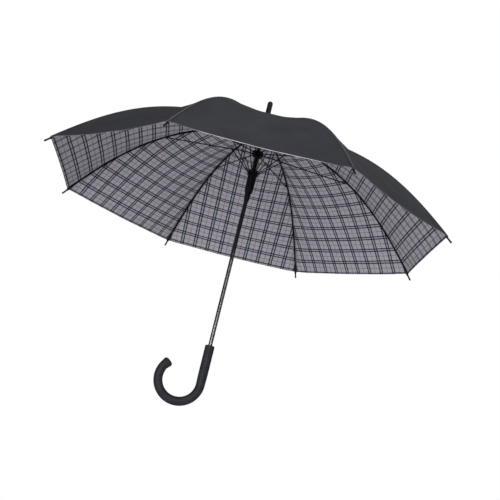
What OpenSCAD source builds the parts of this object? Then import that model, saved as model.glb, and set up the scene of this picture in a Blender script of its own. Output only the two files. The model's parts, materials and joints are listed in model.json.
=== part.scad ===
// Stick umbrella: eight hinged ribs, a floating hub, a sprung runner and a crook handle.
// The origin is on the shaft's axis, at the handle's top face. +Z points to the ferrule.
// The crook bends towards -X and the release button faces +Y. The canopy is open.

/* [Canopy] */
// Distance from the shaft's axis to a corner of the hem
canopy_r = 520; // [490:5:540]
// Height of the rib hinges above the hem corners
canopy_h = 227; // [217:2:239]
// Height of the hem corners above the handle
hem_z = 352; // [350:1:360]
// How far the middle of each gore sags inwards between its ribs
gore_sag = 11.5; // [5.5:1:25.5]
// How far the middle of each hem sags inwards from the line between its corners
hem_sag = 7.7; // [3.7:0.5:11.7]
// Thickness of the gore shells
gore_t = 0.8; // [0.6:0.1:1]

/* [Frame] */
// Width of a rib's channel
rib_w = 3.2; // [3:0.1:3.4]
// Height of a rib's channel
rib_h = 3; // [2.6:0.1:3.2]
// Distance from the axis to the rivet that joins a rib and its stretcher
joint_r = 268; // [255:1:280]
// Diameter of a stretcher rod
stretcher_d = 3; // [2.6:0.1:3]
// Diameter of a strut rod
strut_d = 2.6; // [2.2:0.1:2.6]
// Distance along a stretcher from the hub wire to the strut's rivet
strut_seat = 61; // [55:1:70]
// Length of a rib's end tip
tip_l = 19; // [16:1:22]

/* [Shaft] */
// Outer diameter of the shaft
shaft_d = 10; // [10:0.5:10]
// Wall of the shaft tube
shaft_wall = 0.8; // [0.6:0.1:1.2]
// Height of the hub's wire above the hem corners
hub_h = 162; // [158:1:166]
// Height of the runner's wire above the hem corners
runner_h = 106; // [102:1:110]
// Length of the ferrule above the crown's cap
ferrule_l = 76; // [60:1:90]
// Turns of the opening spring
spring_turns = 7; // [5:1:8]

/* [Handle] */
// Diameter of the handle at its top
handle_d = 23.4; // [22.8:0.1:24]
// Diameter of the crook
crook_d = 22; // [21:0.1:22.6]
// Length of the handle's straight part
grip_l = 98; // [90:1:110]
// Bend radius of the crook's centre line
crook_r = 52; // [45:1:60]
// Angle that the crook bends through before its flared end
crook_angle = 212; // [200:1:216]

/* [Hidden] */
$fn = 48;
ribs = 8;
rib_step = 360 / ribs;

gap = 0.3;
shaft_r = shaft_d / 2;
running_r = shaft_r + 0.08;
press_r = shaft_r + 0.02;

// The wires that the links hinge on
wire_r = 0.7;
crown_ring_r = 10;
link_ring_r = 12;
eye_r = 2.2;
eye_hole_r = 0.9;
eye_w = 1.8;
slot_w = 3.8;

// Hinge points in a rib's own plane, as distance from the axis and height
crown_pivot = [crown_ring_r, hem_z + canopy_h];
hub_pivot = [link_ring_r, hem_z + hub_h];
runner_pivot = [link_ring_r, hem_z + runner_h];

// A rib's centre line is one cubic curve from the crown to the hem's corner
rib_curve = [
    crown_pivot,
    [0.49 * canopy_r, crown_pivot[1]],
    [0.72 * canopy_r, hem_z + 0.278 * canopy_r],
    [canopy_r, hem_z]
];
function curve_at(t) =
    pow(1 - t, 3) * rib_curve[0] + 3 * pow(1 - t, 2) * t * rib_curve[1]
    + 3 * (1 - t) * t * t * rib_curve[2] + pow(t, 3) * rib_curve[3];
function curve_slope(t) =
    3 * pow(1 - t, 2) * (rib_curve[1] - rib_curve[0])
    + 6 * (1 - t) * t * (rib_curve[2] - rib_curve[1])
    + 3 * t * t * (rib_curve[3] - rib_curve[2]);
function unit(v) = v / norm(v);
function rib_normal(t) = let (s = unit(curve_slope(t))) [-s[1], s[0]];
function rib_point(t, off = 0) = curve_at(t) + off * rib_normal(t);

// The place along the curve that lies a given distance from the axis
function curve_t(r, low = 0, high = 1, steps = 24) =
    let (mid = (low + high) / 2)
    steps == 0 ? mid
    : curve_at(mid)[0] < r ? curve_t(r, mid, high, steps - 1)
    : curve_t(r, low, mid, steps - 1);

// The stretcher's rivet sits in a lug below the rib
joint_drop = 3;
joint = [joint_r, curve_at(curve_t(joint_r))[1] - joint_drop];
lug_r = 2.8;
rivet_hole_r = 1;

// The rib's channel: its wall, and where its groove runs
channel_wall = 0.6;
groove_t = [0.03, 0.975];
groove_gap = 8;

// Length and tilt of the link from one hinge point to another
function link_length(a, b) = norm(b - a);
function link_tilt(a, b) = atan2(b[1] - a[1], b[0] - a[0]);
stretcher_l = link_length(hub_pivot, joint);
stretcher_tilt = link_tilt(hub_pivot, joint);
strut_end = hub_pivot + strut_seat * [cos(stretcher_tilt), sin(stretcher_tilt)];
strut_l = link_length(runner_pivot, strut_end);
strut_tilt = link_tilt(runner_pivot, strut_end);

// A stretcher runs beside its rib and its strut, so that all three fold flat together
side_gap = 0.3;
stretcher_y = rib_w / 2 + side_gap + stretcher_d / 2;
joggle = [8, 16];
knuckle = 0.1;
rivet_inset = 1.4;
flat_w = 2;

// The rib's end tip
tip_overlap = 3;
tip_r = 2.7;

// Gore shells lie just above the ribs
gore_off = rib_h / 2 + 1.3;
gore_t_range = [0.002, 0.9945];
sag_skew = 0.8;
gore_steps = 14;
gore_bands = 4;

// Runner
collar_r = 14.5;
collar_low = 6;
collar_top = 5;
body_top_r = 11.5;
body_low_r = 10.5;
body_l = 46.5;
neck_top_r = 8;
neck_low_r = 6.25;
neck_l = 24;
catch_hole_up = 5.9;
catch_hole_r = 2.5;
runner_low = runner_pivot[1] - collar_low - body_l;

// Hub and crown
hub_r = 14;
hub_low = 9;
hub_top = 5;
slot_from_r = 8.4;
crown_low = 7.5;
crown_top = 1.3;
crown_slot_from_r = 7.4;
crown_boss_r = 7;

// Opening spring, which stands on the runner's top just inside its slots
spring_wire_r = 0.7;
spring_inset = 0.1;
spring_r = slot_from_r - spring_inset - spring_wire_r;

// Cap and ferrule
cap_z = crown_pivot[1] + 4;
cap_r = 17;
cap_lip = 1.2;
cap_h = 4;
ferrule_base_r = 8.4;
ferrule_tip_r = 6.8;
ferrule_tip_l = 25;
ferrule_bore = 16;

// Handle, with its socket for the runner's neck
socket_r = neck_top_r + gap;
socket_depth = 25;
shaft_end = -60;
rim_r = 2.5;
grip_taper = 24;
end_r = 12.5;
end_l = 18.5;
end_round = 6.5;
end_lap = 3;
end_lean = 9;
end_step = 0.1;
button_z = -26;
button_y = 10.2;
pin_r = 1;
pin_l = 10;
pin_gap = 0.2;
pin_play = 0.05;
leaf = [[6.3, -43.5], [6.7, -43.5], [8.8, -33], [8.4, -33]];
leaf_w = 4;
slot_half_w = 3.5;
slot_floor_y = 6.2;
slot_z = [-44, -10];
bar_y = [9, 11.2];
bar_z = [-43, -11];
nose_z = -14.7;
nose_r = 1.8;
nose_y = 5.7;
pad_z = -36;
pad_r = 3.2;
pad_y = 13;

// Strap that ties the closed canopy
strap_t = [0.68, 0.95];
strap_w = 18;
strap_off = gore_off + 1.4;
strap_thick = 0.8;
stud_t = 0.92;
stud_r = 5;
stud_h = 1.6;

function rib_angle(i) = rib_step * (i - 2.5);

module at_rib(i) rotate([0, 0, rib_angle(i)]) children();

// A flat outline of distance and height, made into a plate in the rib's plane
module plate(width, side = 0)
    translate([0, side, 0]) rotate([90, 0, 0]) linear_extrude(width, center = true) children();

// A disc across the rib's plane
module disc(r, width, side = 0)
    translate([0, side, 0]) rotate([90, 0, 0]) cylinder(r = r, h = width, center = true);

// A link's own frame: +X runs along it from its hinge
module link(pivot, tilt)
    translate([pivot[0], 0, pivot[1]]) rotate([0, -tilt, 0]) children();

module rod(a, b, r) {
    d = b - a;
    translate(a)
        rotate([0, acos(d[2] / norm(d)), atan2(d[1], d[0])])
            cylinder(r = r, h = norm(d));
}

module ring(ring_r, z, r) translate([0, 0, z]) rotate_extrude() translate([ring_r, 0]) circle(r);

// Half a ball that stands on the XY plane
module dome(r) rotate_extrude() intersection() {
    circle(r);
    square(r);
}

// Slots for the links' eyes, cut from the outside of a hub
module slots(from_r, z, height)
    for (i = [1:ribs]) at_rib(i) translate([from_r, -slot_w / 2, z]) cube([hub_r, slot_w, height]);

module shaft_tube() color("#26282b")
    translate([0, 0, shaft_end]) difference() {
        length = cap_z + cap_h + ferrule_bore - shaft_end;
        cylinder(r = shaft_r, h = length);
        translate([0, 0, -1]) cylinder(r = shaft_r - shaft_wall, h = length + 2);
    }

// The straight part is turned, with a rounded rim. The crook is a bent bar with a flared end.
module handle_body() {
    top_r = handle_d / 2;
    bar_r = crook_d / 2;
    rotate_extrude() polygon(concat(
        [[0, -grip_l], [bar_r, -grip_l], [top_r, -grip_l + grip_taper]],
        [for (a = [0:15:90]) [top_r - rim_r + rim_r * cos(a), -rim_r + rim_r * sin(a)]],
        [[0, 0]]
    ));
    translate([-crook_r, 0, -grip_l]) rotate([-90, 0, 0]) {
        rotate_extrude(angle = crook_angle) translate([crook_r, 0]) circle(bar_r);
        rotate([0, 0, crook_angle - end_lap]) translate([crook_r, 0, 0]) rotate([-90, 0, end_lean])
            crook_end(bar_r - end_step);
    }
}

// A turned plug that widens from the bar and ends in a rounded rim
module crook_end(from_r) rotate_extrude() polygon(concat(
    [[0, 0], [from_r, 0]],
    [for (a = [0:15:90]) [end_r - end_round * (1 - cos(a)), end_l - end_round * (1 - sin(a))]],
    [[0, end_l]]
));

// A bar on the rocker's axis
module cross_bar(r, length)
    translate([-length / 2, button_y, button_z]) rotate([0, 90, 0]) cylinder(r = r, h = length);

module crook_handle() color("#2b2d31")
    difference() {
        handle_body();
        translate([0, 0, -socket_depth]) cylinder(r = socket_r, h = socket_depth + 1);
        translate([0, 0, shaft_end]) cylinder(r = press_r, h = -shaft_end);
        translate([-slot_half_w, slot_floor_y, slot_z[0]])
            cube([2 * slot_half_w, handle_d / 2, slot_z[1] - slot_z[0]]);
        cross_bar(pin_r, pin_l + 2 * pin_gap);
    }

// A rocker: its pad is pressed in, and its nose swings out of the runner's catch hole
module release_button() color("#1d1f22")
    difference() {
        union() {
            translate([-pad_r, bar_y[0], bar_z[0]])
                cube([2 * pad_r, bar_y[1] - bar_y[0], bar_z[1] - bar_z[0]]);
            translate([0, pad_y, pad_z]) rotate([90, 0, 0]) cylinder(r = pad_r, h = pad_y - bar_y[0]);
            translate([0, bar_y[0] + 1, nose_z]) rotate([90, 0, 0])
                cylinder(r = nose_r, h = bar_y[0] + 1 - nose_y);
        }
        cross_bar(pin_r + pin_play, pin_l);
    }

module button_pin() color("silver") cross_bar(pin_r, pin_l);

// A leaf that holds the rocker's lower end out
module button_spring() color("silver")
    rotate([90, 0, 90]) linear_extrude(leaf_w, center = true) polygon(leaf);

module ferrule() color("#18191b")
    difference() {
        base_z = cap_z + cap_h;
        taper_l = ferrule_l - ferrule_tip_l;
        straight_l = ferrule_tip_l - ferrule_tip_r;
        translate([0, 0, base_z]) union() {
            cylinder(r1 = ferrule_base_r, r2 = ferrule_tip_r, h = taper_l);
            translate([0, 0, taper_l]) cylinder(r = ferrule_tip_r, h = straight_l);
            translate([0, 0, taper_l + straight_l]) dome(ferrule_tip_r);
        }
        translate([0, 0, base_z - 1]) cylinder(r = press_r, h = ferrule_bore + 1);
    }

module canopy_cap() color("#303236")
    difference() {
        translate([0, 0, cap_z]) {
            cylinder(r = cap_r, h = cap_lip);
            translate([0, 0, cap_lip]) cylinder(r1 = cap_r, r2 = ferrule_base_r + 1, h = cap_h - cap_lip);
        }
        translate([0, 0, cap_z - 1]) cylinder(r = press_r, h = cap_h + 2);
    }

module crown() color("#18191b")
    difference() {
        z = crown_pivot[1] - crown_low;
        union() {
            translate([0, 0, z]) cylinder(r = hub_r, h = crown_low + crown_top);
            translate([0, 0, z]) cylinder(r = crown_boss_r, h = cap_z - z);
        }
        translate([0, 0, z - 1]) cylinder(r = press_r, h = cap_z - z + 2);
        slots(crown_slot_from_r, z - 1, crown_low + crown_top + 2);
        ring(crown_ring_r, crown_pivot[1], wire_r + 0.05);
    }

module crown_wire() color("silver") ring(crown_ring_r, crown_pivot[1], wire_r);

module hub() color("#18191b")
    difference() {
        z = hub_pivot[1] - hub_low;
        translate([0, 0, z]) cylinder(r = hub_r, h = hub_low + hub_top);
        translate([0, 0, z - 1]) cylinder(r = running_r, h = hub_low + hub_top + 2);
        slots(slot_from_r, z - 1, hub_low + hub_top + 2);
        ring(link_ring_r, hub_pivot[1], wire_r + 0.05);
    }

module hub_wire() color("silver") ring(link_ring_r, hub_pivot[1], wire_r);

module runner() color("#18191b")
    difference() {
        neck_z = runner_low - neck_l;
        collar_z = runner_pivot[1] - collar_low;
        union() {
            translate([0, 0, collar_z]) cylinder(r = collar_r, h = collar_low + collar_top);
            translate([0, 0, runner_low]) cylinder(r1 = body_low_r, r2 = body_top_r, h = body_l);
            translate([0, 0, neck_z]) cylinder(r1 = neck_low_r, r2 = neck_top_r, h = neck_l);
        }
        translate([0, 0, neck_z - 1]) cylinder(r = running_r, h = neck_l + body_l + collar_r);
        slots(slot_from_r, collar_z, collar_low + collar_top + 1);
        ring(link_ring_r, runner_pivot[1], wire_r + 0.05);
        translate([0, 0, neck_z + catch_hole_up]) disc(catch_hole_r, 3 * neck_top_r);
    }

module runner_wire() color("silver") ring(link_ring_r, runner_pivot[1], wire_r);

// A round wire wound about the shaft, with its turns closed into one surface
module opening_spring() color("#55585c") {
    low = runner_pivot[1] + collar_top + gap + spring_wire_r;
    high = hub_pivot[1] - hub_low - gap - spring_wire_r;
    per_turn = 12;
    sides = 6;
    steps = spring_turns * per_turn;
    points = [
        for (k = [0:steps], j = [0:sides - 1])
            let (a = 360 * k / per_turn, b = 360 * j / sides, r = spring_r + spring_wire_r * cos(b))
            [r * cos(a), r * sin(a), low + (high - low) * k / steps + spring_wire_r * sin(b)]
    ];
    faces = concat(
        [[for (j = [0:sides - 1]) j]],
        [for (k = [0:steps - 1], j = [0:sides - 1])
            let (n = (j + 1) % sides)
            each [
                [k * sides + j, (k + 1) * sides + j, k * sides + n],
                [k * sides + n, (k + 1) * sides + j, (k + 1) * sides + n]
            ]],
        [[for (j = [sides - 1:-1:0]) steps * sides + j]]
    );
    polyhedron(points, faces);
}

// The band between two offsets of the rib's curve
module rib_band(from_t, to_t, low, high, steps) {
    function at(k) = from_t + (to_t - from_t) * k / steps;
    polygon(concat(
        [for (k = [0:steps]) rib_point(at(k), high)],
        [for (k = [steps:-1:0]) rib_point(at(k), low)]
    ));
}

module rib(i) color("#1a1b1d")
    at_rib(i) difference() {
        union() {
            plate(rib_w) rib_band(0, 1, -rib_h / 2, rib_h / 2, 2 * gore_steps);
            translate([crown_pivot[0], 0, crown_pivot[1]]) disc(eye_r, rib_w);
            translate([joint[0], 0, joint[1]]) disc(lug_r, rib_w);
        }
        // the channel's groove, open below, between the eye and the lug and beyond the lug
        for (span = [
            [groove_t[0], curve_t(joint_r - groove_gap)],
            [curve_t(joint_r + groove_gap), groove_t[1]]
        ])
            plate(rib_w - 2 * channel_wall)
                rib_band(span[0], span[1], -rib_h, rib_h / 2 - channel_wall, 2 * gore_steps);
        translate([crown_pivot[0], 0, crown_pivot[1]]) disc(eye_hole_r, rib_w + 1);
        translate([joint[0], 0, joint[1]]) disc(rivet_hole_r, rib_w + 1);
    }

module rib_tip(i) color("#18191b")
    at_rib(i) link(rib_curve[3], link_tilt(rib_curve[2], rib_curve[3])) difference() {
        union() {
            translate([-tip_overlap, 0, 0]) rotate([0, 90, 0]) cylinder(r = tip_r, h = tip_l - tip_r);
            translate([tip_l - tip_overlap - tip_r, 0, 0]) rotate([0, 90, 0]) dome(tip_r);
        }
        translate([-tip_overlap - 1, -rib_w / 2 - 0.05, -rib_h / 2 - 0.1])
            cube([tip_overlap + 1.05, rib_w + 0.1, rib_h + 0.2]);
    }

module stretcher(i) color("#1a1b1d")
    at_rib(i) link(hub_pivot, stretcher_tilt) difference() {
        r = stretcher_d / 2;
        bends = [
            [1, 0, 0], [joggle[0], 0, 0],
            [joggle[1], stretcher_y, 0], [stretcher_l - rivet_inset, stretcher_y, 0]
        ];
        union() {
            disc(eye_r, eye_w);
            rod(bends[0], bends[1], r);
            rod(bends[1], bends[2], r - knuckle);
            rod(bends[2], bends[3], r);
            for (k = [1:2]) translate(bends[k]) sphere(r + knuckle);
            translate([strut_seat, 0, 0]) disc(lug_r, stretcher_d - 4 * knuckle, stretcher_y);
            translate([stretcher_l, 0, 0]) disc(lug_r - 2 * knuckle, flat_w, stretcher_y - side_gap);
        }
        disc(eye_hole_r, 2 * stretcher_d);
        translate([strut_seat, 0, 0]) disc(eye_hole_r, 4 * stretcher_y);
        translate([stretcher_l, 0, 0]) disc(rivet_hole_r, 4 * stretcher_y);
    }

module strut(i) color("#1a1b1d")
    at_rib(i) link(runner_pivot, strut_tilt) difference() {
        union() {
            disc(eye_r, eye_w);
            rod([1, 0, 0], [strut_l - 1, 0, 0], strut_d / 2);
            translate([strut_l, 0, 0]) disc(eye_r + 2 * knuckle, strut_d);
        }
        disc(eye_hole_r, 2 * strut_d);
        translate([strut_l, 0, 0]) disc(eye_hole_r, 2 * strut_d);
    }

// A gore's shell spans from its own rib to the next. Its sides stay clear of both rib planes.
function side_point(p, angle, side) =
    [p[0] * cos(angle) - side * sin(angle), p[0] * sin(angle) + side * cos(angle), p[1]];

function gore_point(t_share, u, off) =
    let (
        t = gore_t_range[0] + (gore_t_range[1] - gore_t_range[0]) * t_share,
        depth = gore_sag * sin(180 * pow(t_share, sag_skew)) + hem_sag * t_share * t_share,
        sag = 4 * u * (1 - u) * depth,
        p = rib_point(t, off),
        n = rib_normal(t),
        a = side_point(p, 0, gap / 2),
        b = side_point(p, rib_step, -gap / 2),
        mid = rib_step / 2
    )
    a * (1 - u) + b * u - sag * [n[0] * cos(mid), n[0] * sin(mid), n[1]];

// A closed shell's four-sided faces, and the number of a point in its list
function quad(a, b, c, d) = [[a, b, c], [a, c, d]];
function gore_id(k, j, s) = (s * (gore_steps + 1) + k) * (gore_bands + 1) + j;

module gore(i) color("#43444a") {
    ks = [0:gore_steps - 1];
    js = [0:gore_bands - 1];
    points = [
        for (s = [0, 1], k = [0:gore_steps], j = [0:gore_bands])
            gore_point(k / gore_steps, j / gore_bands, gore_off + s * gore_t)
    ];
    inner = [for (k = ks, j = js)
        [gore_id(k, j, 0), gore_id(k, j + 1, 0), gore_id(k + 1, j + 1, 0), gore_id(k + 1, j, 0)]];
    outer = [for (k = ks, j = js)
        [gore_id(k, j, 1), gore_id(k + 1, j, 1), gore_id(k + 1, j + 1, 1), gore_id(k, j + 1, 1)]];
    sides = [for (k = ks, j = [0, gore_bands])
        let (a = j == 0 ? k : k + 1, b = j == 0 ? k + 1 : k)
        [gore_id(a, j, 0), gore_id(b, j, 0), gore_id(b, j, 1), gore_id(a, j, 1)]];
    ends = [for (j = js, k = [0, gore_steps])
        let (a = k == 0 ? j + 1 : j, b = k == 0 ? j : j + 1)
        [gore_id(k, a, 0), gore_id(k, b, 0), gore_id(k, b, 1), gore_id(k, a, 1)]];
    faces = [for (f = concat(inner, outer, sides, ends)) each quad(f[0], f[1], f[2], f[3])];
    at_rib(i) polyhedron(points, faces);
}

// The strap is sewn along one seam, over the fifth rib
module tie_strap() color("#303236")
    at_rib(5) plate(strap_w)
        rib_band(strap_t[0], strap_t[1], strap_off, strap_off + strap_thick, 10);

module strap_stud() color("silver") {
    p = rib_point(stud_t, strap_off + strap_thick + 0.1);
    n = rib_normal(stud_t);
    at_rib(5) translate([p[0], 0, p[1]]) rotate([0, 90 - atan2(n[1], n[0]), 0])
        cylinder(r = stud_r, h = stud_h);
}

shaft_tube();
crook_handle();
release_button();
button_pin();
button_spring();
ferrule();
canopy_cap();
crown();
crown_wire();
hub();
hub_wire();
runner();
runner_wire();
opening_spring();
tie_strap();
strap_stud();
for (i = [1:ribs]) {
    rib(i);
    rib_tip(i);
    stretcher(i);
    strut(i);
    gore(i);
}
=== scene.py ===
"""Looks for the stick umbrella: its lined canopy, its sewing, its frame's fittings and every finish.

All lengths are in metres. The frame is the CAD model's own: +Z runs up the shaft to the ferrule,
the crook bends towards -X and rib i stands at azimuth 45 * (i - 2.5) degrees.
"""
import json
import math

import bpy
import numpy as np
from mathutils import Matrix, Vector

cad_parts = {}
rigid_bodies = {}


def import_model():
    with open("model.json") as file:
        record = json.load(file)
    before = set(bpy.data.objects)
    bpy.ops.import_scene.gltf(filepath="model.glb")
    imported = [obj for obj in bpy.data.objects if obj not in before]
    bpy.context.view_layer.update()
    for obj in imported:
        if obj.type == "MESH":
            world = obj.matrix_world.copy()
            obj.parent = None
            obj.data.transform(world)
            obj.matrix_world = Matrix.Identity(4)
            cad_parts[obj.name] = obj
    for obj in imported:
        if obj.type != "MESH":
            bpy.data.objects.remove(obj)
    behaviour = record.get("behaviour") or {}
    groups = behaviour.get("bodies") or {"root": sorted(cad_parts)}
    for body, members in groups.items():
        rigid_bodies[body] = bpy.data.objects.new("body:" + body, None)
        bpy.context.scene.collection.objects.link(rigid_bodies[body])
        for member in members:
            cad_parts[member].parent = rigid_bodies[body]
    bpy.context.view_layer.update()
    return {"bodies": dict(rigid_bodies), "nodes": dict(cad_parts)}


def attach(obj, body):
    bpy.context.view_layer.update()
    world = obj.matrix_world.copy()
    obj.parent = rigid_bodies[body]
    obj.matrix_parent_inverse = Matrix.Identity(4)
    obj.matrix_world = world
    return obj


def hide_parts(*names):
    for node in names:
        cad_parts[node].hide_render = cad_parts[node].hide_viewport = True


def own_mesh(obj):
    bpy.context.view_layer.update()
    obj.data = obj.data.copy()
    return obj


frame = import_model()

MM = 0.001
RIBS = range(1, 9)
RIB_STEP = math.radians(45)

# The canopy's driving sizes, as in the CAD source
CANOPY_R, CANOPY_H, HEM_Z = 0.520, 0.227, 0.352
CROWN_R = 0.010
HUB_Z, RUNNER_Z, LINK_R = HEM_Z + 0.162, HEM_Z + 0.106, 0.012
RIB_CURVE = np.array([
    (CROWN_R, HEM_Z + CANOPY_H),
    (0.49 * CANOPY_R, HEM_Z + CANOPY_H),
    (0.72 * CANOPY_R, HEM_Z + 0.278 * CANOPY_R),
    (CANOPY_R, HEM_Z),
])
RIB_W, RIB_H = 3.2 * MM, 3.0 * MM
JOINT_R, JOINT_DROP = 0.268, 3 * MM
STRUT_SEAT, STRETCHER_SIDE = 61 * MM, 3.4 * MM
GORE_FROM, GORE_TO = 0.002, 0.9955
GORE_SAG, HEM_SAG, SAG_SKEW = 11.5 * MM, 7.7 * MM, 0.8
CLOTH_LOW, CLOTH_TOP = 2.5 * MM, 2.95 * MM

# The folds that tension leaves in the cloth, and how far they spread from a corner
BROAD_FOLD, FINE_FOLD, CORNER_FOLD = 1.3 * MM, 0.5 * MM, 1.1 * MM
CORNER_REACH, FOLD_REACH, FOLD_START = 0.16, 0.22, 0.05

# The folded hem
HEM_FOLD = 7 * MM
HEM_EXTRA = 0.55 * MM

# The cloth's mesh
ROWS, COLUMNS = 56, 28

# The lining's check: its repeat, then half the gap, half the width and the soft edge of its paired lines
CHECK = 38.6 * MM
PAIR_HALF_GAP, LINE_HALF, LINE_SOFT = 3.7 * MM, 1.6 * MM, 0.35 * MM
HEM_PHASE = {1: 0.5, 2: -0.5, 3: 0.0, 4: 3.6, 5: 1.0, 6: 3.2, 7: 2.6, 8: 0.8}
# The gore whose hem edge carries a painted highlight along its middle, and the half widths over which that
# painted highlight fades out
HIGHLIT_HEM = 8
HIGHLIGHT_FROM, HIGHLIGHT_TO = 0.10, 0.17
# The ribs whose inside seam allowance is painted darker as painted shade from the rib's shadow; the cloth is
# the same on every rib
SHADED_SEAMS = (1, 5, 6)

# Rows of stitches: length, pitch and thread radius
HEM_STITCH = (2.4 * MM, 3.4 * MM, 0.16 * MM)
SEAM_STITCH = (2.8 * MM, 4.0 * MM, 0.17 * MM)
STRAP_STITCH = (2.2 * MM, 3.2 * MM, 0.16 * MM)

# Where the ribs are tied to the cloth, and the strap's two ends, as shares of the rib's curve
TIE_PLACES = (0.24, 0.44, 0.62, 0.79, 0.92)
STRAP_T = (0.68, 0.95)
STRAP_RIB = 5


# ---------------------------------------------------------------- camera, light and floor

def make_camera():
    """The camera stands low in front of the umbrella, looks up at it and is rolled."""
    target = Vector((0.0392, -0.0008, 0.2592))
    distance, azimuth, rise, roll = 2.4708, math.radians(88.835), math.radians(14.953), math.radians(13.731)
    ahead = Vector((math.cos(rise) * math.cos(azimuth), math.cos(rise) * math.sin(azimuth), math.sin(rise)))
    level = ahead.cross(Vector((0, 0, 1))).normalized()
    plumb = level.cross(ahead)
    right = math.cos(roll) * level + math.sin(roll) * plumb
    up = math.cos(roll) * plumb - math.sin(roll) * level
    data = bpy.data.cameras.new("camera")
    data.lens, data.sensor_width, data.sensor_fit = 70.816, 36, "HORIZONTAL"
    data.clip_end = 100
    camera = bpy.data.objects.new("camera", data)
    bpy.context.scene.collection.objects.link(camera)
    turn = Matrix((right, up, -ahead)).transposed().to_4x4()
    camera.matrix_world = Matrix.Translation(target - distance * ahead) @ turn
    bpy.context.scene.camera = camera


# Each light's name, place, aim, size and power. The narrow one makes the shaft's bright stripe.
LIGHTS = (
    ("key", (0.0, -3.0, 1.0), (0, 0, 0.3), (0.16, 1.2), 32),
    ("front", (-1.3, -2.9, 0.0), (0.15, 0, 0.4), (1.4, 1.3), 58),
    ("high", (2.3, -2.2, 2.2), (0.1, 0, 0.5), (1.2, 1.2), 6),
)
# The soft light all round: two directions, and how far along each it starts and ends and how strong
SWEEPS = (
    ((1, 0, 0), (-0.6, 0.9, 0.0, 0.26)),
    ((0.1, -0.55, 0.83), (0.0, 1.0, 0.0, 0.80)),
)
FLOOR_R, FLOOR_Z, FLOOR_SIDES = 14.0, -1.20, 96


def area_light(name, place, aim, size, power):
    data = bpy.data.lights.new(name, "AREA")
    data.shape, data.size, data.size_y, data.energy = "RECTANGLE", size[0], size[1], power
    light = bpy.data.objects.new(name, data)
    bpy.context.scene.collection.objects.link(light)
    towards = Vector(aim) - Vector(place)
    light.matrix_world = Matrix.Translation(place) @ towards.to_track_quat("-Z", "Y").to_matrix().to_4x4()


def make_studio():
    world = bpy.data.worlds.new("studio")
    bpy.context.scene.world = world
    world.use_nodes = True
    tree = world.node_tree
    tree.nodes.clear()
    out = tree.nodes.new("ShaderNodeOutputWorld")
    seen, lighting = tree.nodes.new("ShaderNodeBackground"), tree.nodes.new("ShaderNodeBackground")
    seen.inputs["Color"].default_value = (1, 1, 1, 1)
    lighting.inputs["Color"].default_value = (0.94, 0.96, 1, 1)
    toward, total = tree.nodes.new("ShaderNodeTexCoord"), tree.nodes.new("ShaderNodeMath")
    for k, (direction, bounds) in enumerate(SWEEPS):
        along, sweep = tree.nodes.new("ShaderNodeVectorMath"), tree.nodes.new("ShaderNodeMapRange")
        along.operation = "DOT_PRODUCT"
        along.inputs[1].default_value = direction
        for name, value in zip(("From Min", "From Max", "To Min", "To Max"), bounds):
            sweep.inputs[name].default_value = value
        tree.links.new(toward.outputs["Generated"], along.inputs[0])
        tree.links.new(along.outputs["Value"], sweep.inputs["Value"])
        tree.links.new(sweep.outputs[0], total.inputs[k])
    tree.links.new(total.outputs[0], lighting.inputs["Strength"])
    path, mix = tree.nodes.new("ShaderNodeLightPath"), tree.nodes.new("ShaderNodeMixShader")
    tree.links.new(path.outputs["Is Camera Ray"], mix.inputs[0])
    tree.links.new(lighting.outputs[0], mix.inputs[1])
    tree.links.new(seen.outputs[0], mix.inputs[2])
    tree.links.new(mix.outputs[0], out.inputs[0])
    for light in LIGHTS:
        area_light(*light)
    bpy.context.scene.view_settings.view_transform = "Standard"

    mesh = bpy.data.meshes.new("floor")
    turns = [2 * math.pi * k / FLOOR_SIDES for k in range(FLOOR_SIDES)]
    rim = [(FLOOR_R * math.cos(a), FLOOR_R * math.sin(a), FLOOR_Z) for a in turns]
    mesh.from_pydata(rim, [], [tuple(range(FLOOR_SIDES))])
    floor = bpy.data.objects.new("floor", mesh)
    bpy.context.scene.collection.objects.link(floor)
    paint = Paint("floor_paper", roughness=0.9)
    paint.colour(paint.blend(paint.noise(3, 3), (0.86, 0.86, 0.86), (0.88, 0.88, 0.88)))
    mesh.materials.append(paint.material)


# ---------------------------------------------------------------- materials

def srgb(r, g, b):
    """Linear colour from 8-bit display values."""
    values = [c / 255 for c in (r, g, b)]
    return tuple(c / 12.92 if c < 0.04045 else ((c + 0.055) / 1.055) ** 2.4 for c in values)


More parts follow.
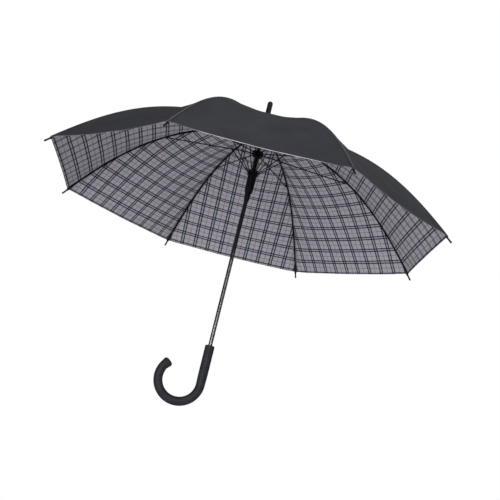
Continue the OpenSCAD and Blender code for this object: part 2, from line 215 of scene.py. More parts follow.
class Paint:
    """A Principled material and short names for the nodes that feed it."""

    def __init__(self, name, **values):
        self.material = bpy.data.materials.new(name)
        self.material.use_nodes = True
        self.tree = self.material.node_tree
        self.shader = self.tree.nodes["Principled BSDF"]
        names = {"roughness": "Roughness", "metallic": "Metallic", "coat": "Coat Weight",
                 "coat_roughness": "Coat Roughness", "sheen": "Sheen Weight",
                 "sheen_roughness": "Sheen Roughness", "specular": "Specular IOR Level"}
        for key, value in values.items():
            self.shader.inputs[names[key]].default_value = value

    def node(self, kind, **settings):
        made = self.tree.nodes.new("ShaderNode" + kind)
        for key, value in settings.items():
            setattr(made, key, value)
        return made

    def feed(self, socket, value):
        if isinstance(value, bpy.types.NodeSocket):
            self.tree.links.new(value, socket)
        elif isinstance(value, tuple):
            socket.default_value = value + (1,) if len(value) == 3 and socket.type == "RGBA" else value
        else:
            socket.default_value = value

    def math(self, operation, a, b=0.0, clamp=False):
        made = self.node("Math", operation=operation, use_clamp=clamp)
        self.feed(made.inputs[0], a)
        self.feed(made.inputs[1], b)
        return made.outputs[0]

    def ramp(self, value, low, high, to_low=0.0, to_high=1.0):
        made = self.node("MapRange", interpolation_type="SMOOTHSTEP")
        for socket, x in zip(made.inputs, (value, low, high, to_low, to_high)):
            self.feed(socket, x)
        return made.outputs[0]

    def blend(self, share, a, b, kind="MIX"):
        made = self.node("Mix", data_type="RGBA", blend_type=kind)
        self.feed(made.inputs["Factor"], share)
        self.feed(made.inputs[6], a)
        self.feed(made.inputs[7], b)
        return made.outputs[2]

    def place(self, stretch=(1, 1, 1), uv=None):
        """Object coordinates, or a named UV map's, stretched along each axis."""
        if uv:
            source = self.node("UVMap", uv_map=uv).outputs[0]
        else:
            source = self.node("TexCoord").outputs["Object"]
        made = self.node("Mapping")
        self.feed(made.inputs["Vector"], source)
        made.inputs["Scale"].default_value = stretch
        return made.outputs[0]

    def noise(self, scale, detail=2, stretch=(1, 1, 1), uv=None, roughness=0.5):
        made = self.node("TexNoise")
        self.feed(made.inputs["Vector"], self.place(stretch, uv))
        for key, value in (("Scale", scale), ("Detail", detail), ("Roughness", roughness)):
            made.inputs[key].default_value = value
        return made.outputs[0]

    def wave(self, scale, stretch, uv=None, distortion=0.0):
        made = self.node("TexWave", wave_profile="SIN")
        self.feed(made.inputs["Vector"], self.place(stretch, uv))
        made.inputs["Scale"].default_value = scale
        made.inputs["Distortion"].default_value = distortion
        return made.outputs[1]

    def colour(self, value):
        self.feed(self.shader.inputs["Base Color"], value)

    def rough(self, value):
        self.feed(self.shader.inputs["Roughness"], value)

    def bump(self, height, distance, strength=1.0):
        made = self.node("Bump")
        made.inputs["Strength"].default_value = strength
        made.inputs["Distance"].default_value = distance
        self.feed(made.inputs["Height"], height)
        self.feed(self.shader.inputs["Normal"], made.outputs[0])


def weave_height(p, uv):
    """Crossed threads, as a height: warp and weft at about three threads to the millimetre."""
    warp = p.wave(500, (1, 0, 0), uv, 0.4)
    weft = p.wave(500, (0, 1, 0), uv, 0.4)
    return p.math("MULTIPLY", p.math("ADD", warp, weft), 0.5)


def slubs(p, uv):
    """Uneven threads: two streaky noises, one along each direction of the cloth."""
    along = p.noise(1, 2, (1500, 90, 1), uv)
    across = p.noise(1, 2, (90, 1500, 1), uv)
    return p.math("MULTIPLY", p.math("ADD", along, across), 0.5)


def outer_cloth():
    p = Paint("charcoal_pongee", sheen=0.0, specular=0.12)
    base = p.blend(p.ramp(slubs(p, "weave"), 0.35, 0.65), srgb(31, 32, 36), srgb(44, 45, 50))
    p.colour(p.blend(p.ramp(p.noise(9, 3), 0.35, 0.7, 0.0, 0.12), base, srgb(58, 60, 64)))
    p.rough(p.ramp(p.noise(14, 3), 0.3, 0.7, 0.52, 0.66))
    p.bump(weave_height(p, "weave"), 0.08 * MM, 0.5)
    return p.material


def pair_mask(p, distance):
    """The two thin lines that stand either side of each repeat."""
    off_line = p.math("ABSOLUTE", p.math("SUBTRACT", distance, PAIR_HALF_GAP))
    return p.ramp(off_line, LINE_HALF - LINE_SOFT, LINE_HALF + LINE_SOFT, 1.0, 0.0)


def lining_cloth():
    """A grey-lilac check: pairs of navy lines both ways, with a faint brown line between them."""
    p = Paint("checked_lining", specular=0.05)
    uv = p.node("SeparateXYZ")
    p.feed(uv.inputs[0], p.node("UVMap", uv_map="weave").outputs[0])
    ground = p.blend(p.ramp(slubs(p, "weave"), 0.3, 0.7), srgb(153, 152, 162), srgb(202, 200, 209))
    grain = p.ramp(p.noise(1, 1, (420, 420, 1), "weave"), 0.36, 0.64, 0.0, 0.32)
    ground = p.blend(grain, ground, srgb(94, 92, 101))
    blotch = p.ramp(p.noise(1, 3, (160, 160, 1), "weave"), 0.3, 0.7, 0.0, 0.35)
    cloth = p.blend(blotch, ground, srgb(134, 129, 133))
    masks, middles, insides = [], [], []
    for axis in (0, 1):
        near = p.math("PINGPONG", uv.outputs[axis], CHECK / 2)
        masks.append(pair_mask(p, near))
        insides.append(p.ramp(near, PAIR_HALF_GAP - 1 * MM, PAIR_HALF_GAP, 1.0, 0.0))
        off_middle = p.math("SUBTRACT", CHECK / 2, near)
        middles.append(p.ramp(off_middle, 0.5 * MM, 1.6 * MM, 1.0, 0.0))
    cloth = p.blend(p.math("MULTIPLY", p.math("MAXIMUM", *middles), 0.60), cloth, srgb(104, 68, 66))
    cloth = p.blend(p.math("MULTIPLY", insides[0], 0.30), cloth, srgb(94, 104, 128))
    cloth = p.blend(p.math("MULTIPLY", insides[1], 0.20), cloth, srgb(100, 105, 121))
    lines = p.math("MAXIMUM", *masks)
    thread = p.ramp(p.noise(1, 1, (700, 700, 1), "weave"), 0.3, 0.75, 0.88, 1.0)
    p.colour(p.blend(p.math("MULTIPLY", lines, thread), cloth, srgb(2, 6, 20)))
    p.rough(p.ramp(p.noise(20, 2), 0.3, 0.7, 0.68, 0.8))
    p.bump(weave_height(p, "weave"), 0.08 * MM, 0.5)
    return p.material


def plain_cloth(name, dark, light):
    """Tape, straps and turned edges."""
    p = Paint(name, sheen=0.1, sheen_roughness=0.5, specular=0.3)
    p.colour(p.blend(p.ramp(p.noise(900, 2, (1, 1, 0.3)), 0.3, 0.7), dark, light))
    p.rough(p.ramp(p.noise(60, 2), 0.3, 0.7, 0.6, 0.75))
    p.bump(p.noise(2200, 1), 0.06 * MM, 0.6)
    return p.material


def painted_highlight_edge():
    """A turned edge with a painted highlight: a light grey band painted along the middle of its hem, where
    light catches the fold.
    """
    p = Paint("highlit_edge", specular=0.15)
    across = p.node("SeparateXYZ")
    p.feed(across.inputs[0], p.node("UVMap", uv_map="weave").outputs[0])
    # painted highlight: light grey painted along the middle of the hem, fading to the edge's dark grey
    # towards the ribs
    middle = p.ramp(p.math("ABSOLUTE", across.outputs[0]), HIGHLIGHT_FROM, HIGHLIGHT_TO, 1.0, 0.0)
    fibres = p.ramp(p.noise(900, 2), 0.3, 0.7, 0.0, 0.4)
    highlight_tone = p.blend(fibres, srgb(178, 174, 177), srgb(140, 137, 142))
    p.colour(p.blend(middle, srgb(66, 66, 72), highlight_tone))
    p.rough(p.ramp(p.noise(60, 2), 0.3, 0.7, 0.6, 0.75))
    p.bump(p.noise(2200, 1), 0.06 * MM, 0.6)
    return p.material


def thread(name, dark, light):
    p = Paint(name, specular=0.35)
    p.colour(p.blend(p.wave(900, (0.6, 0.6, 1), None, 1.0), dark, light))
    p.rough(p.ramp(p.noise(400, 2), 0.3, 0.7, 0.45, 0.6))
    p.bump(p.wave(1400, (0.7, 0.7, 1)), 0.05 * MM, 0.7)
    return p.material


def frame_enamel():
    """Satin black baked on steel, with a few rubbed places."""
    p = Paint("frame_enamel", specular=0.18)
    rub = p.ramp(p.noise(140, 4), 0.62, 0.78, 0.0, 0.5)
    p.colour(p.blend(rub, srgb(5, 6, 12), srgb(18, 19, 26)))
    p.rough(p.ramp(p.noise(300, 3), 0.3, 0.7, 0.32, 0.46))
    p.bump(p.noise(1500, 2), 0.03 * MM, 0.4)
    return p.material


def shaft_enamel():
    """Gloss black on a drawn steel tube, with hair-fine lines along it."""
    p = Paint("shaft_enamel", specular=0.6, coat=0.4, coat_roughness=0.06)
    p.colour(p.blend(p.noise(60, 3, (8, 8, 1)), srgb(7, 8, 12), srgb(14, 15, 20)))
    p.rough(p.ramp(p.noise(120, 2, (4, 4, 0.1)), 0.3, 0.7, 0.10, 0.14))
    p.bump(p.noise(300, 1, (4, 4, 0.02)), 0.002 * MM, 0.25)
    return p.material


def handle_rubber():
    """A soft-touch coat: matte, with a fine grain and faintly polished patches."""
    p = Paint("handle_rubber", specular=0.12)
    p.colour(p.blend(p.ramp(p.noise(45, 4), 0.3, 0.7), srgb(28, 30, 35), srgb(38, 40, 46)))
    p.rough(p.ramp(p.noise(25, 3), 0.35, 0.7, 0.50, 0.64))
    p.bump(p.noise(2600, 2), 0.04 * MM, 0.55)
    return p.material


def moulded(name, dark, light, low, high):
    """Injection-moulded plastic with a fine spark grain."""
    p = Paint(name, specular=0.15)
    p.colour(p.blend(p.ramp(p.noise(90, 3, (1, 1, 0.5)), 0.3, 0.7), dark, light))
    p.rough(p.ramp(p.noise(200, 3), 0.3, 0.7, low, high))
    p.bump(p.noise(3000, 2), 0.025 * MM, 0.5)
    return p.material


def bright_steel():
    p = Paint("bright_steel", metallic=1.0)
    p.colour(p.blend(p.noise(500, 2), srgb(150, 150, 152), srgb(186, 186, 188)))
    p.rough(p.ramp(p.noise(700, 2, (1, 1, 6)), 0.3, 0.7, 0.22, 0.38))
    p.bump(p.noise(2000, 1, (1, 1, 8)), 0.01 * MM, 0.4)
    return p.material


def blued_steel():
    """Rivets, dark with a dull shine."""
    p = Paint("blued_steel", metallic=1.0)
    p.colour(p.blend(p.noise(400, 2), srgb(62, 64, 68), srgb(92, 94, 98)))
    p.rough(p.ramp(p.noise(600, 2), 0.3, 0.7, 0.30, 0.44))
    p.bump(p.noise(2400, 1), 0.01 * MM, 0.4)
    return p.material


# ---------------------------------------------------------------- the canopy's own geometry

def curve_at(t):
    t = np.asarray(t, float)[..., None]
    a, b, c, d = RIB_CURVE
    return (1 - t) ** 3 * a + 3 * (1 - t) ** 2 * t * b + 3 * (1 - t) * t * t * c + t ** 3 * d


def curve_normal(t):
    t = np.asarray(t, float)[..., None]
    a, b, c, d = RIB_CURVE
    slope = (1 - t) ** 2 * (b - a) + 2 * (1 - t) * t * (c - b) + t * t * (d - c)
    slope = slope / np.linalg.norm(slope, axis=-1, keepdims=True)
    return np.stack([-slope[..., 1], slope[..., 0]], -1)


def rib_azimuth(i):
    return RIB_STEP * (i - 2.5)


def in_plane(point, azimuth, side=0.0):
    """Distance and height in a rib's plane, with a sideways step, to a place in space."""
    r, z = point[..., 0], point[..., 1]
    x = r * math.cos(azimuth) - side * math.sin(azimuth)
    y = r * math.sin(azimuth) + side * math.cos(azimuth)
    return np.stack([x, y, z + 0 * x], -1)


def rib_place(i, t, off=0.0, side=0.0):
    """A point above a rib's centre line by off, and beside it by side."""
    return in_plane(curve_at(t) + off * curve_normal(t), rib_azimuth(i), side)


def ripples(i, s, u):
    """Shallow folds that the sewing and the tips pull into a gore."""
    inner = 4 * u * (1 - u)
    drift = 1.3 * i
    broad = BROAD_FOLD * np.sin(7.0 * s + 3.1 * u + drift) * np.sin(math.pi * s) * inner
    fine = FINE_FOLD * np.sin(19 * u + 5 * s + 2 * drift) * np.sin(11 * s + drift) * inner
    corner = np.exp(-((1 - s) / CORNER_REACH) ** 2)
    pull = 0.0
    for side, edge in ((u, 0), (1 - u, 1)):
        fan = np.arctan2(side, 1.02 - s + 1e-6)
        fade = np.clip(side / FOLD_START, 0, 1) * np.exp(-(side / FOLD_REACH) ** 2)
        pull = pull + CORNER_FOLD * corner * fade * np.sin(9 * fan + drift + edge)
    return broad + fine + pull


def gore_place(i, s, u, off):
    """A point on gore i: s from 0 at the crown to 1 at the hem, u from 0 at rib i to 1 at the next."""
    s, u = np.asarray(s, float), np.asarray(u, float)
    t = GORE_FROM + (GORE_TO - GORE_FROM) * s
    flat, normal = curve_at(t) + off[..., None] * curve_normal(t), curve_normal(t)
    first, second = rib_azimuth(i), rib_azimuth(i + 1)
    a, b = in_plane(flat, first), in_plane(flat, second)
    outwards = in_plane(normal, (first + second) / 2)
    depth = GORE_SAG * np.sin(math.pi * s ** SAG_SKEW) + HEM_SAG * s * s
    sag = 4 * u * (1 - u) * depth - ripples(i, s, u)
    return a * (1 - u[..., None]) + b * u[..., None] - sag[..., None] * outwards


def gore_width(s):
    """Distance between the two ribs, across a gore."""
    reach = curve_at(GORE_FROM + (GORE_TO - GORE_FROM) * np.asarray(s, float))[..., 0]
    return 2 * reach * math.sin(RIB_STEP / 2)


def length_table(steps=400):
    t = np.linspace(0, 1, steps + 1)
    p = curve_at(t)
    return t, np.concatenate([[0], np.cumsum(np.linalg.norm(np.diff(p, axis=0), axis=1))])


CURVE_T, CURVE_LENGTH = length_table()


def s_at(from_hem):
    """The share along a gore that lies a distance from its hem, measured along the rib's curve."""
    t = np.interp(np.interp(GORE_TO, CURVE_T, CURVE_LENGTH) - from_hem, CURVE_LENGTH, CURVE_T)
    return (t - GORE_FROM) / (GORE_TO - GORE_FROM)


def from_hem(s):
    t = GORE_FROM + (GORE_TO - GORE_FROM) * np.asarray(s, float)
    return np.interp(GORE_TO, CURVE_T, CURVE_LENGTH) - np.interp(t, CURVE_T, CURVE_LENGTH)


# ---------------------------------------------------------------- mesh helpers

def new_piece(name, points, faces, materials, body, face_slots):
    """A mesh piece that rides on a body, with a material slot for each face."""
    mesh = bpy.data.meshes.new(name)
    mesh.from_pydata([tuple(map(float, p)) for p in points], [], faces)
    for m in materials:
        mesh.materials.append(m)
    mesh.polygons.foreach_set("material_index", np.array(face_slots, np.int32))
    mesh.polygons.foreach_set("use_smooth", [True] * len(mesh.polygons))
    mesh.validate()
    piece = bpy.data.objects.new(name, mesh)
    bpy.context.scene.collection.objects.link(piece)
    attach(piece, body)
    return piece


def follow_next_rib(piece, weights, i):
    """Cloth between two ribs: each point goes with rib i and the next by its share of the way."""
    group = piece.vertex_groups.new(name="next_rib")
    for index, weight in enumerate(weights):
        group.add([index], float(weight), "REPLACE")
    hook = piece.modifiers.new("next_rib", "HOOK")
    hook.object = frame["bodies"][f"rib_{i % 8 + 1}"]
    hook.vertex_group, hook.falloff_type, hook.strength = "next_rib", "NONE", 1.0
    hook.matrix_inverse = Matrix.Identity(4)


class Shape:
    """Collects points and faces of one piece."""

    def __init__(self):
        self.points, self.faces, self.slots, self.tags = [], [], [], []

    def add(self, points, faces, slot=0, tags=None):
        start = len(self.points)
        self.points += [tuple(p) for p in points]
        self.faces += [tuple(start + k for k in f) for f in faces]
        self.slots += [slot] * len(faces)
        self.tags += list(tags) if tags is not None else [0.0] * len(points)

    def tube(self, path, radius, sides, closed=False, tags=None):
        """A round tube along a path."""
        path = np.asarray(path, float)
        n = len(path)
        ahead = np.roll(path, -1, 0) - np.roll(path, 1, 0)
        if not closed:
            ahead[0], ahead[-1] = path[1] - path[0], path[-1] - path[-2]
        ahead = ahead / np.linalg.norm(ahead, axis=1, keepdims=True)
        side = np.cross(ahead[0], least_axis(ahead[0]))
        points = []
        for k in range(n):
            side = side - ahead[k] * (side @ ahead[k])
            side = side / np.linalg.norm(side)
            up = np.cross(ahead[k], side)
            for j in range(sides):
                a = 2 * math.pi * j / sides
                points.append(path[k] + radius * (math.cos(a) * side + math.sin(a) * up))
        faces = []
        for k in range(n if closed else n - 1):
            for j in range(sides):
                a, b = k * sides, (k + 1) % n * sides
                m = (j + 1) % sides
                faces.append((a + j, a + m, b + m, b + j))
        if not closed:
            faces.append(tuple(range(sides - 1, -1, -1)))
            faces.append(tuple((n - 1) * sides + j for j in range(sides)))
        self.add(points, faces, tags=None if tags is None else np.repeat(tags, sides))

    def lathe(self, profile, place, axis, segments):
        """A turned body: profile is (radius, height) from one end to the other, along an axis."""
        axis = np.asarray(axis, float) / np.linalg.norm(axis)
        side = np.cross(axis, least_axis(axis))
        side = side / np.linalg.norm(side)
        up = np.cross(axis, side)
        points = []
        for r, h in profile:
            for j in range(segments):
                a = 2 * math.pi * j / segments
                points.append(np.asarray(place) + h * axis + r * (math.cos(a) * side + math.sin(a) * up))
        faces = []
        for k in range(len(profile) - 1):
            for j in range(segments):
                m, near, far = (j + 1) % segments, k * segments, (k + 1) * segments
                faces.append((near + j, near + m, far + m, far + j))
        faces.append(tuple(range(segments - 1, -1, -1)))
        faces.append(tuple((len(profile) - 1) * segments + j for j in range(segments)))
        self.add(points, faces)

    def piece(self, name, materials, body, slot):
        return new_piece(name, self.points, self.faces, materials, body, self.slots)


def least_axis(v):
    return np.eye(3)[int(np.argmin(np.abs(v)))]


def stitch_row(shape, places, outwards, stitch, tags=None):
    """Stitches along a polyline: each lies on the cloth and dives in at both ends."""
    length, pitch, radius = stitch
    steps = np.linalg.norm(np.diff(places, axis=0), axis=1)
    run = np.concatenate([[0], np.cumsum(steps)])
    for k in range(int(run[-1] / pitch)):
        at = k * pitch + np.array([0.0, 0.22, 0.78, 1.0]) * length
        if at[-1] > run[-1]:
            break
        centre = np.stack([np.interp(at, run, places[:, c]) for c in range(3)], 1)
        normal = np.stack([np.interp(at, run, outwards[:, c]) for c in range(3)], 1)
        lift = np.array([-0.9, 0.35, 0.35, -0.9]) * radius
        tag = None if tags is None else np.interp(at, run, tags)
        shape.tube(centre + lift[:, None] * normal, radius, 5, tags=tag)


# ---------------------------------------------------------------- canopy

def gore_rows():
    """Shares along the gore: even rows, then closer ones over the folded hem."""
    fold = s_at(np.array([HEM_FOLD + 0.5 * MM, HEM_FOLD, 4 * MM, 1.6 * MM, 0.7 * MM, 0.0]))
    return np.concatenate([np.linspace(0, fold[0], ROWS, endpoint=False), fold])


def make_gore(i, outer, inner, edge):
    rows, columns = gore_rows(), np.linspace(0, 1, COLUMNS + 1)
    s, u = np.meshgrid(rows, columns, indexing="ij")
    in_hem = (from_hem(s) <= HEM_FOLD + 0.01 * MM).astype(float)
    top = CLOTH_TOP + 0.15 * MM * in_hem
    low = CLOTH_LOW - HEM_EXTRA * in_hem
    last = from_hem(s) < 0.1 * MM
    top, low = np.where(last, top - 0.25 * MM, top), np.where(last, low + 0.25 * MM, low)
    points = np.concatenate([gore_place(i, s, u, layer).reshape(-1, 3) for layer in (top, low)])
    n, m = len(rows), len(columns)

    def at(k, j, layer):
        return (layer * n + k) * m + j

    faces, slots = [], []
    for k in range(n - 1):
        for j in range(m - 1):
            faces.append((at(k, j, 0), at(k + 1, j, 0), at(k + 1, j + 1, 0), at(k, j + 1, 0)))
            slots.append(2 if k == n - 2 else 0)
            faces.append((at(k, j, 1), at(k, j + 1, 1), at(k + 1, j + 1, 1), at(k + 1, j, 1)))
            slots.append(1)
    for k in range(n - 1):
        faces.append((at(k, 0, 0), at(k, 0, 1), at(k + 1, 0, 1), at(k + 1, 0, 0)))
        faces.append((at(k, m - 1, 0), at(k + 1, m - 1, 0), at(k + 1, m - 1, 1), at(k, m - 1, 1)))
        slots += [0, 0]
    for j in range(m - 1):
        faces.append((at(0, j, 0), at(0, j + 1, 0), at(0, j + 1, 1), at(0, j, 1)))
        faces.append((at(n - 1, j, 0), at(n - 1, j, 1), at(n - 1, j + 1, 1), at(n - 1, j + 1, 0)))
        slots += [0, 2]
    piece = new_piece(f"canopy_gore_{i}", points, faces, [outer, inner, edge], f"rib_{i}", slots)
    weave = np.stack([(u - 0.5) * gore_width(s), from_hem(s) - HEM_PHASE[i] * MM], -1).reshape(-1, 2)
    weave = np.concatenate([weave, weave])
    layer = piece.data.uv_layers.new(name="weave")
    corners = np.zeros(len(piece.data.loops), np.int32)
    piece.data.loops.foreach_get("vertex_index", corners)
    layer.data.foreach_set("uv", weave[corners].astype(np.float32).ravel())
    follow_next_rib(piece, np.concatenate([u.ravel(), u.ravel()]), i)
    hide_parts(f"gore_{i}")
    return piece, cloth_area(points[: n * m].reshape(n, m, 3))


def cloth_area(grid):
    a, b, c, d = grid[:-1, :-1], grid[1:, :-1], grid[1:, 1:], grid[:-1, 1:]
    return float(np.linalg.norm(np.cross(c - a, d - b), axis=-1).sum() / 2)


def outward_at(i, s, u):
    """The cloth's outward direction, from the rib curve's normal."""
    t = GORE_FROM + (GORE_TO - GORE_FROM) * np.asarray(s, float)
    azimuth = rib_azimuth(i) + RIB_STEP * np.asarray(u, float)
    n = curve_normal(t)
    return np.stack([n[..., 0] * np.cos(azimuth), n[..., 0] * np.sin(azimuth), n[..., 1]], -1)


def make_hem_thread(i, material):
    """The hem's line of stitching, outside and inside."""
    shape = Shape()
    from_edge, stitch_line = 0.012, 5 * MM
    u = np.linspace(from_edge, 1 - from_edge, 160)
    s = np.full_like(u, float(s_at(stitch_line)))
    for off, sign in ((CLOTH_TOP + 0.15 * MM, 1), (CLOTH_LOW - HEM_EXTRA, -1)):
        places = gore_place(i, s, u, np.full_like(u, off))
        stitch_row(shape, places, sign * outward_at(i, s, u), HEM_STITCH, tags=u)
    piece = shape.piece(f"hem_thread_{i}", [material], f"rib_{i}", "canopy")
    follow_next_rib(piece, shape.tags, i)
    return piece


def strip(shape, rows, slot=0):
    """A band with a flat section that bends along its length. rows is stations x points round it."""
    n, m = len(rows), len(rows[0])
    faces = [(k * m + j, k * m + (j + 1) % m, (k + 1) * m + (j + 1) % m, (k + 1) * m + j)
             for k in range(n - 1) for j in range(m)]
    faces += [tuple(range(m - 1, -1, -1)), tuple((n - 1) * m + j for j in range(m))]
    shape.add([p for row in rows for p in row], faces, slot)


def seam_section(i, s, half, lift, thick):
    """Points across a seam over rib i, draped on the gores either side of it."""
    before = (i - 2) % 8 + 1
    width = max(float(gore_width(s)), 6 * half)
    shares = [half / width, 0.5 * half / width, 0.0]
    row = []
    for off in (lift + thick, lift):
        left = [gore_place(before, s, 1 - u, np.float64(off)) for u in shares]
        right = [gore_place(i, s, u, np.float64(off)) for u in shares[-2::-1]]
        row.append(left + right)
    return row[0] + row[1][::-1]


def make_seam(i, cloth, allowance, thread_material):
    """The felled seam over a rib: a narrow band outside, a taped allowance inside, two stitch rows."""
    start, short_of_hem, row_half = 0.035, 1.2 * MM, 1.7 * MM
    stations = np.linspace(start, float(s_at(short_of_hem)), 70)
    # Half width, lift above the rib's centre line and thickness
    outside = (2.6 * MM, CLOTH_TOP - 0.05 * MM, 0.3 * MM)
    inside = (2.3 * MM, CLOTH_LOW - 0.3 * MM, 0.32 * MM)
    shape = Shape()
    strip(shape, [seam_section(i, s, *outside) for s in stations])
    strip(shape, [seam_section(i, s, *inside) for s in stations], 1)
    shape.piece(f"rib_seam_{i}", [cloth, allowance], f"rib_{i}", "canopy")
    sewing = Shape()
    for half in (-row_half, row_half):
        owner = i if half > 0 else (i - 2) % 8 + 1
        share = np.abs(half) / np.maximum(gore_width(stations), 6 * abs(half))
        u = share if half > 0 else 1 - share
        places = gore_place(owner, stations, u, np.full_like(stations, CLOTH_TOP + 0.27 * MM))
        stitch_row(sewing, places, outward_at(owner, stations, u), SEAM_STITCH)
    sewing.piece(f"seam_thread_{i}", [thread_material], f"rib_{i}", "canopy")


def make_rib_ties(i, material):
    """Thread ties that hold the seam down to its rib, each a few turns with a knot."""
    turns, pitch, segments, radius = 4, 0.0011, 16, 0.24 * MM
    wide, tall, raised, squareness = RIB_W / 2 + 0.35 * MM, RIB_H / 2 + 0.55 * MM, 0.35 * MM, 0.55
    shape = Shape()
    for t in TIE_PLACES:
        for turn in range(turns):
            spot = t + (turn - (turns - 1) / 2) * pitch
            loop = []
            for k in range(segments):
                a = 2 * math.pi * k / segments
                corner = 1 / max(abs(math.cos(a)), abs(math.sin(a))) ** squareness
                rise, side = raised + tall * math.sin(a) * corner, wide * math.cos(a) * corner
                loop.append(rib_place(i, spot, rise, side))
            shape.tube(loop, radius, 6, closed=True)
        knot = rib_place(i, t, -RIB_H / 2 - 0.3 * MM, RIB_W / 2 + 0.1 * MM)
        shape.lathe([(0.05 * MM, -0.7 * MM), (0.6 * MM, -0.4 * MM), (0.75 * MM, 0), (0.6 * MM, 0.4 * MM),
                     (0.05 * MM, 0.7 * MM)], knot, (0, 0, 1), 10)
    shape.piece(f"rib_ties_{i}", [material], f"rib_{i}", "canopy")


def make_tip(i, plastic, thread_material):
    """A rib's moulded end: a cup over the rib, a neck with thread through it and a rounded point."""
    drop = -1.2 * MM
    end = rib_place(i, 1.0, drop)
    ahead = end - rib_place(i, 0.97, drop)
    ahead = ahead / np.linalg.norm(ahead)
    profile = [(2.3, -6.0), (2.65, -5.8), (2.85, -5.2), (2.9, -1.4), (2.7, -0.5), (2.3, 0.2), (2.1, 1.2),
               (2.15, 4.0), (2.25, 9.0), (2.4, 12.2), (2.35, 14.2), (2.0, 15.3), (1.3, 15.9), (0.4, 16.0)]
    shape = Shape()
    shape.lathe([(r * MM, h * MM) for r, h in profile], end, ahead, 28)
    tip = shape.piece(f"rib_end_{i}", [plastic], f"rib_{i}", "plastic")
    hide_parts(f"rib_tip_{i}")
    sewing = Shape()
    turns, first, pitch, ring_r, thread_r = 5, -4.4, 0.62, 2.98 * MM, 0.28 * MM
    side = np.cross(ahead, (0, 0, 1))
    side = side / np.linalg.norm(side)
    up = np.cross(side, ahead)
    for turn in range(turns):
        centre = end + ahead * (first + pitch * turn) * MM
        ring = [centre + ring_r * (math.cos(a) * side + math.sin(a) * up)
                for a in np.linspace(0, 2 * math.pi, 20, endpoint=False)]
        sewing.tube(ring, thread_r, 6, closed=True)
    sewing.piece(f"end_thread_{i}", [thread_material], f"rib_{i}", "canopy")


def make_corner_patch(i, cloth):
    """A small doubled patch inside the hem's corner, under the rib's end."""
    shape = Shape()
    count, long, short_of_hem, narrow, broad, thick = 9, 20 * MM, 0.6 * MM, 2.9 * MM, 10 * MM, 0.3 * MM
    stations = s_at(np.linspace(long, short_of_hem, count))
    halves = np.linspace(narrow, broad, count)
    lift = CLOTH_LOW - HEM_EXTRA - 0.32 * MM
    strip(shape, [seam_section(i, s, h, lift, thick) for s, h in zip(stations, halves)])
    shape.piece(f"corner_patch_{i}", [cloth], f"rib_{i}", "canopy")


def make_crown_patch(cloth):
    """A round doubled patch on the canopy's top, with a pinked edge, held down by the cap."""
    shape = Shape()
    rings, segments, inside, outside, thick = 8, 72, 6.2 * MM, 15.5 * MM, 0.35 * MM
    top = []
    for k in range(rings + 1):
        r = inside + (outside - inside) * k / rings
        for j in range(segments):
            a = 2 * math.pi * j / segments
            tooth = (0.7 * MM if j % 2 else -0.3 * MM) if k == rings else 0.0
            lift = 0.5 * MM + 0.2 * MM * math.cos(len(RIBS) * a)
            height = HEM_Z + CANOPY_H + CLOTH_TOP + lift
            top.append(((r + tooth) * math.cos(a), (r + tooth) * math.sin(a), height))
    low = [(x, y, z - thick) for x, y, z in top]
    count = len(top)
    faces = []
    for k in range(rings):
        for j in range(segments):
            m = (j + 1) % segments
            a, b, c, d = k * segments + j, (k + 1) * segments + j, (k + 1) * segments + m, k * segments + m
            faces += [(a, b, c, d), (count + a, count + d, count + c, count + b)]
    for k, flip in ((0, True), (rings, False)):
        for j in range(segments):
            a, b = k * segments + j, k * segments + (j + 1) % segments
            face = (a, count + a, count + b, b)
            faces.append(face[::-1] if flip else face)
    shape.add(top + low, faces)
    shape.piece("crown_patch", [cloth], "handle_and_shaft", "canopy")


# ---------------------------------------------------------------- frame fittings

def joint_point():
    t = np.interp(JOINT_R, curve_at(CURVE_T)[:, 0], CURVE_T)
    return curve_at(t) - np.array([0, JOINT_DROP])


def rivet(shape, place, azimuth, low, high, pin, head):
    """A pin across a rib's plane with a domed head at each end."""
    side = np.array([-math.sin(azimuth), math.cos(azimuth), 0.0])
    dome = [(math.sin(a) * head, (1 - math.cos(a)) * 0.45 * head) for a in np.linspace(0.15, math.pi / 2, 5)]
    profile = [(r, low - 0.45 * head + h) for r, h in dome] + [(pin, low), (pin, high)]
    profile += [(r, high + 0.45 * head - h) for r, h in dome[::-1]]
    shape.lathe(profile, place, side, 18)


def make_rivets(steel):
    joint = joint_point()
    hub = np.array([LINK_R, HUB_Z])
    along = (joint - hub) / np.linalg.norm(joint - hub)
    seat = hub + STRUT_SEAT * along
    # Radius of each rivet's pin and of its heads
    rib_pin, strut_pin = (0.9 * MM, 1.9 * MM), (0.8 * MM, 1.7 * MM)
    for i in RIBS:
        azimuth = rib_azimuth(i)
        shape = Shape()
        low, high = -RIB_W / 2 - 0.15 * MM, STRETCHER_SIDE + 0.85 * MM
        rivet(shape, in_plane(joint, azimuth), azimuth, low, high, *rib_pin)
        shape.piece(f"rib_rivet_{i}", [steel], f"rib_{i}", "steel")
        shape = Shape()
        low, high = -1.45 * MM, STRETCHER_SIDE + 1.45 * MM
        rivet(shape, in_plane(seat, azimuth), azimuth, low, high, *strut_pin)
        shape.piece(f"strut_rivet_{i}", [steel], f"stretcher_{i}", "steel")


def make_opening_spring(steel):
    """The long open coil between the runner and the hub."""
    low, high = RUNNER_Z + 5.9 * MM, HUB_Z - 9.9 * MM
    turns, per_turn, wire, radius = 12, 40, 0.7 * MM, 7.6 * MM
    shape = Shape()
    path = []
    for k in range(turns * per_turn + 1):
        share = k / (turns * per_turn)
        a = 2 * math.pi * turns * share
        ends = np.clip((share * turns - 1) / (turns - 2), 0, 1)
        height = low + (high - low) * (0.06 * share + 0.94 * ends)
        path.append((radius * math.cos(a), radius * math.sin(a), height))
    shape.tube(path, wire, 10)
    piece = shape.piece("opening_coil", [steel], "runner", "steel")
    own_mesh(piece)
    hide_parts("opening_spring")


# ---------------------------------------------------------------- strap

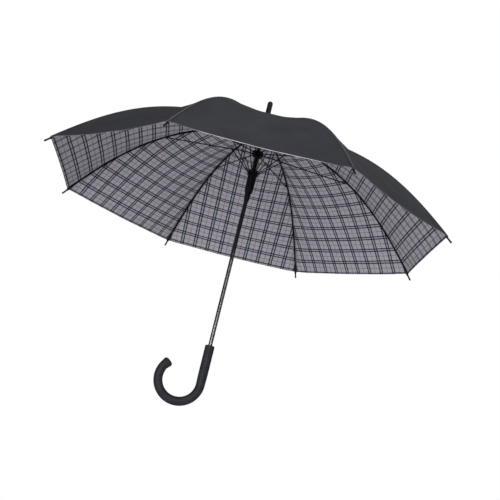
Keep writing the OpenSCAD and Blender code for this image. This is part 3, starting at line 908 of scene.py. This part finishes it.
def strap_section(t, half, lift, thick):
    """Points across the strap, with rounded long edges, over its rib's seam."""
    sides = np.array([-1, -0.96, 0, 0.96, 1]) * half
    low = [rib_place(STRAP_RIB, t, lift + (0.2 * thick if abs(x) == half else 0), x) for x in sides]
    top = [rib_place(STRAP_RIB, t, lift + (0.8 * thick if abs(x) == half else thick), x) for x in sides]
    return top + low[::-1]


def make_strap(cloth, thread_material, steel):
    """The tie strap along one seam, hemmed and edge-stitched, with a press stud at its free end."""
    half, lift, thick, row_in, stud_t = 9 * MM, CLOTH_TOP + 1.1 * MM, 0.9 * MM, 2 * MM, 0.92
    body = f"rib_{STRAP_RIB}"
    stations = np.linspace(*STRAP_T, 46)
    share = (stations - STRAP_T[0]) / (STRAP_T[1] - STRAP_T[0])
    halves = half * np.sqrt(np.clip(1 - np.clip((share - 0.955) / 0.05, 0, 1) ** 2, 0.02, 1))
    wave = 0.35 * MM * np.sin(15 * share)
    shape = Shape()
    strip(shape, [strap_section(t, h, lift + w, thick) for t, h, w in zip(stations, halves, wave)])
    band = shape.piece("tie_band", [cloth], body, "canopy")
    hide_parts("tie_strap")
    sewing = Shape()
    inner = stations[1:-3]
    normal = np.stack([outward_at(STRAP_RIB, (t - GORE_FROM) / (GORE_TO - GORE_FROM), 0.0) for t in inner])
    for side in (-1, 1):
        places = np.stack([rib_place(STRAP_RIB, t, lift + w + thick, side * (half - row_in))
                           for t, w in zip(inner, wave[1:-3])])
        stitch_row(sewing, places, normal, STRAP_STITCH)
    sewing.piece("strap_thread", [thread_material], body, "canopy")
    stud = Shape()
    place = rib_place(STRAP_RIB, stud_t, lift + thick + 0.05 * MM)
    axis = outward_at(STRAP_RIB, stud_t, 0.0)
    profile = [(5.0, 0.0), (5.2, 0.3), (5.0, 0.75), (4.2, 1.15), (3.0, 1.2), (2.6, 1.05),
               (2.2, 1.35), (1.2, 1.6), (0.2, 1.65)]
    stud.lathe([(r * MM, h * MM) for r, h in profile], place, axis, 36)
    stud_piece = stud.piece("press_stud", [steel], body, "steel")
    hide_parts("strap_stud")


# ---------------------------------------------------------------- put together

def dress_frame():
    """Finishes for the CAD nodes that stay in view."""
    enamel, shaft, rubber = frame_enamel(), shaft_enamel(), handle_rubber()
    steel = bright_steel()
    black = moulded("moulded_black", srgb(4, 5, 13), srgb(9, 10, 19), 0.40, 0.52)
    gloss = moulded("ferrule_black", srgb(8, 8, 12), srgb(15, 15, 19), 0.24, 0.36)
    grey = moulded("cap_grey", srgb(34, 35, 39), srgb(44, 45, 50), 0.40, 0.52)
    finishes = {
        "shaft_tube": shaft, "crook_handle": rubber, "release_button": black, "button_pin": steel,
        "button_spring": steel, "ferrule": gloss, "canopy_cap": grey, "crown": black, "crown_wire": steel,
        "hub": black, "hub_wire": steel, "runner": black, "runner_wire": steel,
    }
    for i in RIBS:
        for part in ("rib", "stretcher", "strut"):
            finishes[f"{part}_{i}"] = enamel
    for name, material in finishes.items():
        node = frame["nodes"][name]
        node.data.materials.clear()
        node.data.materials.append(material)
    return black


def make_canopy(black):
    outer, inner = outer_cloth(), lining_cloth()
    turned_edge = plain_cloth("turned_edge", srgb(76, 75, 82), srgb(100, 98, 106))
    # the hem edge with a painted highlight along its middle, used on gore 8 only
    highlit_edge = painted_highlight_edge()
    # painted shade: a dark copy of the seam allowance, used on ribs 1, 5 and 6 where their shadows fall
    painted_shade_allowance = plain_cloth("painted_shade_allowance", srgb(30, 31, 36), srgb(46, 47, 53))
    pale_allowance = plain_cloth("pale_allowance", srgb(120, 119, 128), srgb(160, 158, 168))
    tape = plain_cloth("seam_tape", srgb(40, 42, 46), srgb(58, 60, 64))
    dark_thread = thread("dark_thread", srgb(24, 25, 28), srgb(52, 53, 57))
    for i in RIBS:
        gore, area = make_gore(i, outer, inner, highlit_edge if i == HIGHLIT_HEM else turned_edge)
        sewing = make_hem_thread(i, dark_thread)
        # the seams of ribs 1, 5 and 6 take the allowance with painted shade; the others take its own pale
        # colour
        make_seam(i, tape, painted_shade_allowance if i in SHADED_SEAMS else pale_allowance, dark_thread)
        make_rib_ties(i, dark_thread)
        make_tip(i, black, dark_thread)
        make_corner_patch(i, tape)
    make_crown_patch(tape)
    make_strap(tape, dark_thread, bright_steel())


make_camera()
make_studio()
black_plastic = dress_frame()
make_canopy(black_plastic)
dark_steel = blued_steel()
make_rivets(dark_steel)
make_opening_spring(frame_enamel())
